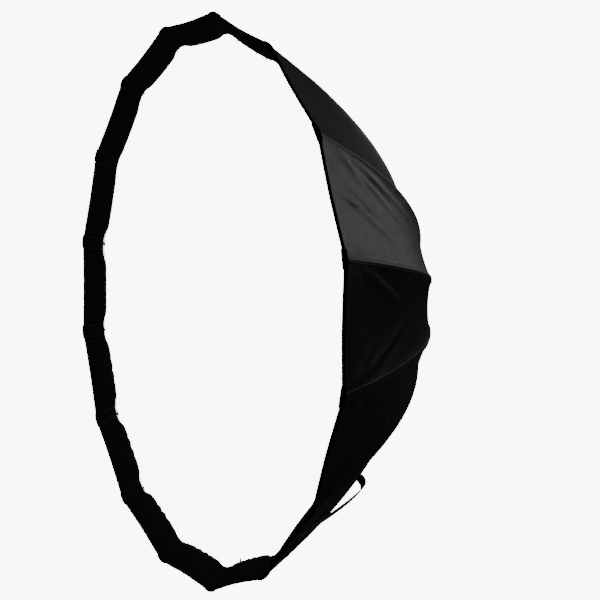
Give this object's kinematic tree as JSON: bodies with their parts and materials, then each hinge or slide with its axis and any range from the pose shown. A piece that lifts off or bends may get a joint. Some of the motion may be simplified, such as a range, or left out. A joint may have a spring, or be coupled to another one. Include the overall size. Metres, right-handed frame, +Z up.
{
  "type": "octabox softbox",
  "caption": "Deep round folding softbox with a white front diffuser, ribbed black bowl, hub and light mount.",
  "frame": {"origin": "centre of the mounting ring's flat rear face, on the axis of the softbox", "axes": "-Y towards the open diffuser face, +Y towards the light, +Z up, X across"},
  "size_m": [0.8336, 0.3955, 0.8336],
  "materials": {
    "mount_alloy": "satin turned",
    "hub_plastic": "fine spark-eroded texture",
    "latch_plastic": "satin",
    "fastener_steel": "bright zinc",
    "rib_steel": "satin black lacquer",
    "shell_nylon": "coated nylon with a satin sheen",
    "lip_webbing": "brushed loop tape, very matte",
    "strap_webbing": "woven webbing",
    "elastic": "ribbed knit",
    "diffuser_cloth": "fine matte weave"
  },
  "bodies": {
    "hub": {"mount_ring": "mount_alloy", "mount_screw_1": "fastener_steel", "mount_screw_2": "fastener_steel", "mount_screw_3": "fastener_steel", "mount_screw_4": "fastener_steel", "hub_body": "hub_plastic", "hub_clamp_ring": "hub_plastic", "latch_pin_right": "fastener_steel", "latch_pin_left": "fastener_steel", "latch_spring_right": "fastener_steel", "latch_spring_left": "fastener_steel", "rear_collar": "elastic", "shell_fabric": "shell_nylon", "lip_band": "lip_webbing", "front_diffuser": "diffuser_cloth", "inner_diffuser": "diffuser_cloth", "inner_strap_1": "elastic", "inner_strap_2": "elastic", "inner_strap_3": "elastic", "inner_strap_4": "elastic", "tie_strap": "strap_webbing"},
    "fold_runner": {"runner_ring": "hub_plastic", "runner_cap": "hub_plastic"},
    "fold_rib_01": {"rib_01": "rib_steel"},
    "fold_rib_02": {"rib_02": "rib_steel"},
    "fold_rib_03": {"rib_03": "rib_steel"},
    "fold_rib_04": {"rib_04": "rib_steel"},
    "fold_rib_05": {"rib_05": "rib_steel"},
    "fold_rib_06": {"rib_06": "rib_steel"},
    "fold_rib_07": {"rib_07": "rib_steel"},
    "fold_rib_08": {"rib_08": "rib_steel"},
    "fold_rib_09": {"rib_09": "rib_steel"},
    "fold_rib_10": {"rib_10": "rib_steel"},
    "fold_rib_11": {"rib_11": "rib_steel"},
    "fold_rib_12": {"rib_12": "rib_steel"},
    "fold_rib_13": {"rib_13": "rib_steel"},
    "fold_rib_14": {"rib_14": "rib_steel"},
    "fold_rib_15": {"rib_15": "rib_steel"},
    "fold_rib_16": {"rib_16": "rib_steel"},
    "fold_stretcher_01": {"stretcher_01": "rib_steel"},
    "fold_stretcher_02": {"stretcher_02": "rib_steel"},
    "fold_stretcher_03": {"stretcher_03": "rib_steel"},
    "fold_stretcher_04": {"stretcher_04": "rib_steel"},
    "fold_stretcher_05": {"stretcher_05": "rib_steel"},
    "fold_stretcher_06": {"stretcher_06": "rib_steel"},
    "fold_stretcher_07": {"stretcher_07": "rib_steel"},
    "fold_stretcher_08": {"stretcher_08": "rib_steel"},
    "fold_stretcher_09": {"stretcher_09": "rib_steel"},
    "fold_stretcher_10": {"stretcher_10": "rib_steel"},
    "fold_stretcher_11": {"stretcher_11": "rib_steel"},
    "fold_stretcher_12": {"stretcher_12": "rib_steel"},
    "fold_stretcher_13": {"stretcher_13": "rib_steel"},
    "fold_stretcher_14": {"stretcher_14": "rib_steel"},
    "fold_stretcher_15": {"stretcher_15": "rib_steel"},
    "fold_stretcher_16": {"stretcher_16": "rib_steel"},
    "latch_right": {"latch_lever_right": "latch_plastic"},
    "latch_left": {"latch_lever_left": "latch_plastic"}
  },
  "joints": [
    {"name": "runner_slide", "type": "slide", "parent": "hub", "child": "fold_runner", "axis": [0, -1, 0], "range_m": [0, 0.07778], "deforming": ["shell_fabric", "lip_band", "front_diffuser", "inner_diffuser", "inner_strap_1", "inner_strap_2", "inner_strap_3", "inner_strap_4", "tie_strap"]},
    {"name": "rib_hinge_01", "type": "hinge", "parent": "hub", "child": "fold_rib_01", "pos_m": [0.06081, -0.0282, 0.0121], "axis": [0.1951, 0, -0.9808], "range_deg": [0, 45]},
    {"name": "rib_hinge_02", "type": "hinge", "parent": "hub", "child": "fold_rib_02", "pos_m": [0.05155, -0.0282, 0.03445], "axis": [0.5556, 0, -0.8315], "range_deg": [0, 45]},
    {"name": "rib_hinge_03", "type": "hinge", "parent": "hub", "child": "fold_rib_03", "pos_m": [0.03445, -0.0282, 0.05155], "axis": [0.8315, 0, -0.5556], "range_deg": [0, 45]},
    {"name": "rib_hinge_04", "type": "hinge", "parent": "hub", "child": "fold_rib_04", "pos_m": [0.0121, -0.0282, 0.06081], "axis": [0.9808, 0, -0.1951], "range_deg": [0, 45]},
    {"name": "rib_hinge_05", "type": "hinge", "parent": "hub", "child": "fold_rib_05", "pos_m": [-0.0121, -0.0282, 0.06081], "axis": [0.9808, 0, 0.1951], "range_deg": [0, 45]},
    {"name": "rib_hinge_06", "type": "hinge", "parent": "hub", "child": "fold_rib_06", "pos_m": [-0.03445, -0.0282, 0.05155], "axis": [0.8315, 0, 0.5556], "range_deg": [0, 45]},
    {"name": "rib_hinge_07", "type": "hinge", "parent": "hub", "child": "fold_rib_07", "pos_m": [-0.05155, -0.0282, 0.03445], "axis": [0.5556, 0, 0.8315], "range_deg": [0, 45]},
    {"name": "rib_hinge_08", "type": "hinge", "parent": "hub", "child": "fold_rib_08", "pos_m": [-0.06081, -0.0282, 0.0121], "axis": [0.1951, 0, 0.9808], "range_deg": [0, 45]},
    {"name": "rib_hinge_09", "type": "hinge", "parent": "hub", "child": "fold_rib_09", "pos_m": [-0.06081, -0.0282, -0.0121], "axis": [-0.1951, 0, 0.9808], "range_deg": [0, 45]},
    {"name": "rib_hinge_10", "type": "hinge", "parent": "hub", "child": "fold_rib_10", "pos_m": [-0.05155, -0.0282, -0.03445], "axis": [-0.5556, 0, 0.8315], "range_deg": [0, 45]},
    {"name": "rib_hinge_11", "type": "hinge", "parent": "hub", "child": "fold_rib_11", "pos_m": [-0.03445, -0.0282, -0.05155], "axis": [-0.8315, 0, 0.5556], "range_deg": [0, 45]},
    {"name": "rib_hinge_12", "type": "hinge", "parent": "hub", "child": "fold_rib_12", "pos_m": [-0.0121, -0.0282, -0.06081], "axis": [-0.9808, 0, 0.1951], "range_deg": [0, 45]},
    {"name": "rib_hinge_13", "type": "hinge", "parent": "hub", "child": "fold_rib_13", "pos_m": [0.0121, -0.0282, -0.06081], "axis": [-0.9808, 0, -0.1951], "range_deg": [0, 45]},
    {"name": "rib_hinge_14", "type": "hinge", "parent": "hub", "child": "fold_rib_14", "pos_m": [0.03445, -0.0282, -0.05155], "axis": [-0.8315, 0, -0.5556], "range_deg": [0, 45]},
    {"name": "rib_hinge_15", "type": "hinge", "parent": "hub", "child": "fold_rib_15", "pos_m": [0.05155, -0.0282, -0.03445], "axis": [-0.5556, 0, -0.8315], "range_deg": [0, 45]},
    {"name": "rib_hinge_16", "type": "hinge", "parent": "hub", "child": "fold_rib_16", "pos_m": [0.06081, -0.0282, -0.0121], "axis": [-0.1951, 0, -0.9808], "range_deg": [0, 45]},
    {"name": "stretcher_hinge_01", "type": "hinge", "parent": "fold_rib_01", "child": "fold_stretcher_01", "pos_m": [0.11839, -0.03714, 0.02355], "axis": [-0.1951, 0, 0.9808], "range_deg": [0, 90]},
    {"name": "stretcher_hinge_02", "type": "hinge", "parent": "fold_rib_02", "child": "fold_stretcher_02", "pos_m": [0.10036, -0.03714, 0.06706], "axis": [-0.5556, 0, 0.8315], "range_deg": [0, 90]},
    {"name": "stretcher_hinge_03", "type": "hinge", "parent": "fold_rib_03", "child": "fold_stretcher_03", "pos_m": [0.06706, -0.03714, 0.10036], "axis": [-0.8315, 0, 0.5556], "range_deg": [0, 90]},
    {"name": "stretcher_hinge_04", "type": "hinge", "parent": "fold_rib_04", "child": "fold_stretcher_04", "pos_m": [0.02355, -0.03714, 0.11839], "axis": [-0.9808, 0, 0.1951], "range_deg": [0, 90]},
    {"name": "stretcher_hinge_05", "type": "hinge", "parent": "fold_rib_05", "child": "fold_stretcher_05", "pos_m": [-0.02355, -0.03714, 0.11839], "axis": [-0.9808, 0, -0.1951], "range_deg": [0, 90]},
    {"name": "stretcher_hinge_06", "type": "hinge", "parent": "fold_rib_06", "child": "fold_stretcher_06", "pos_m": [-0.06706, -0.03714, 0.10036], "axis": [-0.8315, 0, -0.5556], "range_deg": [0, 90]},
    {"name": "stretcher_hinge_07", "type": "hinge", "parent": "fold_rib_07", "child": "fold_stretcher_07", "pos_m": [-0.10036, -0.03714, 0.06706], "axis": [-0.5556, 0, -0.8315], "range_deg": [0, 90]},
    {"name": "stretcher_hinge_08", "type": "hinge", "parent": "fold_rib_08", "child": "fold_stretcher_08", "pos_m": [-0.11839, -0.03714, 0.02355], "axis": [-0.1951, 0, -0.9808], "range_deg": [0, 90]},
    {"name": "stretcher_hinge_09", "type": "hinge", "parent": "fold_rib_09", "child": "fold_stretcher_09", "pos_m": [-0.11839, -0.03714, -0.02355], "axis": [0.1951, 0, -0.9808], "range_deg": [0, 90]},
    {"name": "stretcher_hinge_10", "type": "hinge", "parent": "fold_rib_10", "child": "fold_stretcher_10", "pos_m": [-0.10036, -0.03714, -0.06706], "axis": [0.5556, 0, -0.8315], "range_deg": [0, 90]},
    {"name": "stretcher_hinge_11", "type": "hinge", "parent": "fold_rib_11", "child": "fold_stretcher_11", "pos_m": [-0.06706, -0.03714, -0.10036], "axis": [0.8315, 0, -0.5556], "range_deg": [0, 90]},
    {"name": "stretcher_hinge_12", "type": "hinge", "parent": "fold_rib_12", "child": "fold_stretcher_12", "pos_m": [-0.02355, -0.03714, -0.11839], "axis": [0.9808, 0, -0.1951], "range_deg": [0, 90]},
    {"name": "stretcher_hinge_13", "type": "hinge", "parent": "fold_rib_13", "child": "fold_stretcher_13", "pos_m": [0.02355, -0.03714, -0.11839], "axis": [0.9808, 0, 0.1951], "range_deg": [0, 90]},
    {"name": "stretcher_hinge_14", "type": "hinge", "parent": "fold_rib_14", "child": "fold_stretcher_14", "pos_m": [0.06706, -0.03714, -0.10036], "axis": [0.8315, 0, 0.5556], "range_deg": [0, 90]},
    {"name": "stretcher_hinge_15", "type": "hinge", "parent": "fold_rib_15", "child": "fold_stretcher_15", "pos_m": [0.10036, -0.03714, -0.06706], "axis": [0.5556, 0, 0.8315], "range_deg": [0, 90]},
    {"name": "stretcher_hinge_16", "type": "hinge", "parent": "fold_rib_16", "child": "fold_stretcher_16", "pos_m": [0.11839, -0.03714, -0.02355], "axis": [0.1951, 0, 0.9808], "range_deg": [0, 90]},
    {"name": "latch_press_right", "type": "hinge", "parent": "hub", "child": "latch_right", "pos_m": [0.0742, -0.024, 0], "axis": [0, 0, 1], "range_deg": [0, 6], "stiffness_Nm_per_rad": 0.6, "springref_deg": -5.73, "deforming": ["latch_spring_right"]},
    {"name": "latch_press_left", "type": "hinge", "parent": "hub", "child": "latch_left", "pos_m": [-0.0742, -0.024, 0], "axis": [0, 0, -1], "range_deg": [0, 6], "stiffness_Nm_per_rad": 0.6, "springref_deg": -5.73, "deforming": ["latch_spring_left"]}
  ],
  "couplings": [
    {"joint": "rib_hinge_01", "follows": "runner_slide", "rad_per_m": 10.098},
    {"joint": "rib_hinge_02", "follows": "runner_slide", "rad_per_m": 10.098},
    {"joint": "rib_hinge_03", "follows": "runner_slide", "rad_per_m": 10.098},
    {"joint": "rib_hinge_04", "follows": "runner_slide", "rad_per_m": 10.098},
    {"joint": "rib_hinge_05", "follows": "runner_slide", "rad_per_m": 10.098},
    {"joint": "rib_hinge_06", "follows": "runner_slide", "rad_per_m": 10.098},
    {"joint": "rib_hinge_07", "follows": "runner_slide", "rad_per_m": 10.098},
    {"joint": "rib_hinge_08", "follows": "runner_slide", "rad_per_m": 10.098},
    {"joint": "rib_hinge_09", "follows": "runner_slide", "rad_per_m": 10.098},
    {"joint": "rib_hinge_10", "follows": "runner_slide", "rad_per_m": 10.098},
    {"joint": "rib_hinge_11", "follows": "runner_slide", "rad_per_m": 10.098},
    {"joint": "rib_hinge_12", "follows": "runner_slide", "rad_per_m": 10.098},
    {"joint": "rib_hinge_13", "follows": "runner_slide", "rad_per_m": 10.098},
    {"joint": "rib_hinge_14", "follows": "runner_slide", "rad_per_m": 10.098},
    {"joint": "rib_hinge_15", "follows": "runner_slide", "rad_per_m": 10.098},
    {"joint": "rib_hinge_16", "follows": "runner_slide", "rad_per_m": 10.098},
    {"joint": "stretcher_hinge_01", "follows": "runner_slide", "rad_per_m": 20.195},
    {"joint": "stretcher_hinge_02", "follows": "runner_slide", "rad_per_m": 20.195},
    {"joint": "stretcher_hinge_03", "follows": "runner_slide", "rad_per_m": 20.195},
    {"joint": "stretcher_hinge_04", "follows": "runner_slide", "rad_per_m": 20.195},
    {"joint": "stretcher_hinge_05", "follows": "runner_slide", "rad_per_m": 20.195},
    {"joint": "stretcher_hinge_06", "follows": "runner_slide", "rad_per_m": 20.195},
    {"joint": "stretcher_hinge_07", "follows": "runner_slide", "rad_per_m": 20.195},
    {"joint": "stretcher_hinge_08", "follows": "runner_slide", "rad_per_m": 20.195},
    {"joint": "stretcher_hinge_09", "follows": "runner_slide", "rad_per_m": 20.195},
    {"joint": "stretcher_hinge_10", "follows": "runner_slide", "rad_per_m": 20.195},
    {"joint": "stretcher_hinge_11", "follows": "runner_slide", "rad_per_m": 20.195},
    {"joint": "stretcher_hinge_12", "follows": "runner_slide", "rad_per_m": 20.195},
    {"joint": "stretcher_hinge_13", "follows": "runner_slide", "rad_per_m": 20.195},
    {"joint": "stretcher_hinge_14", "follows": "runner_slide", "rad_per_m": 20.195},
    {"joint": "stretcher_hinge_15", "follows": "runner_slide", "rad_per_m": 20.195},
    {"joint": "stretcher_hinge_16", "follows": "runner_slide", "rad_per_m": 20.195}
  ]
}
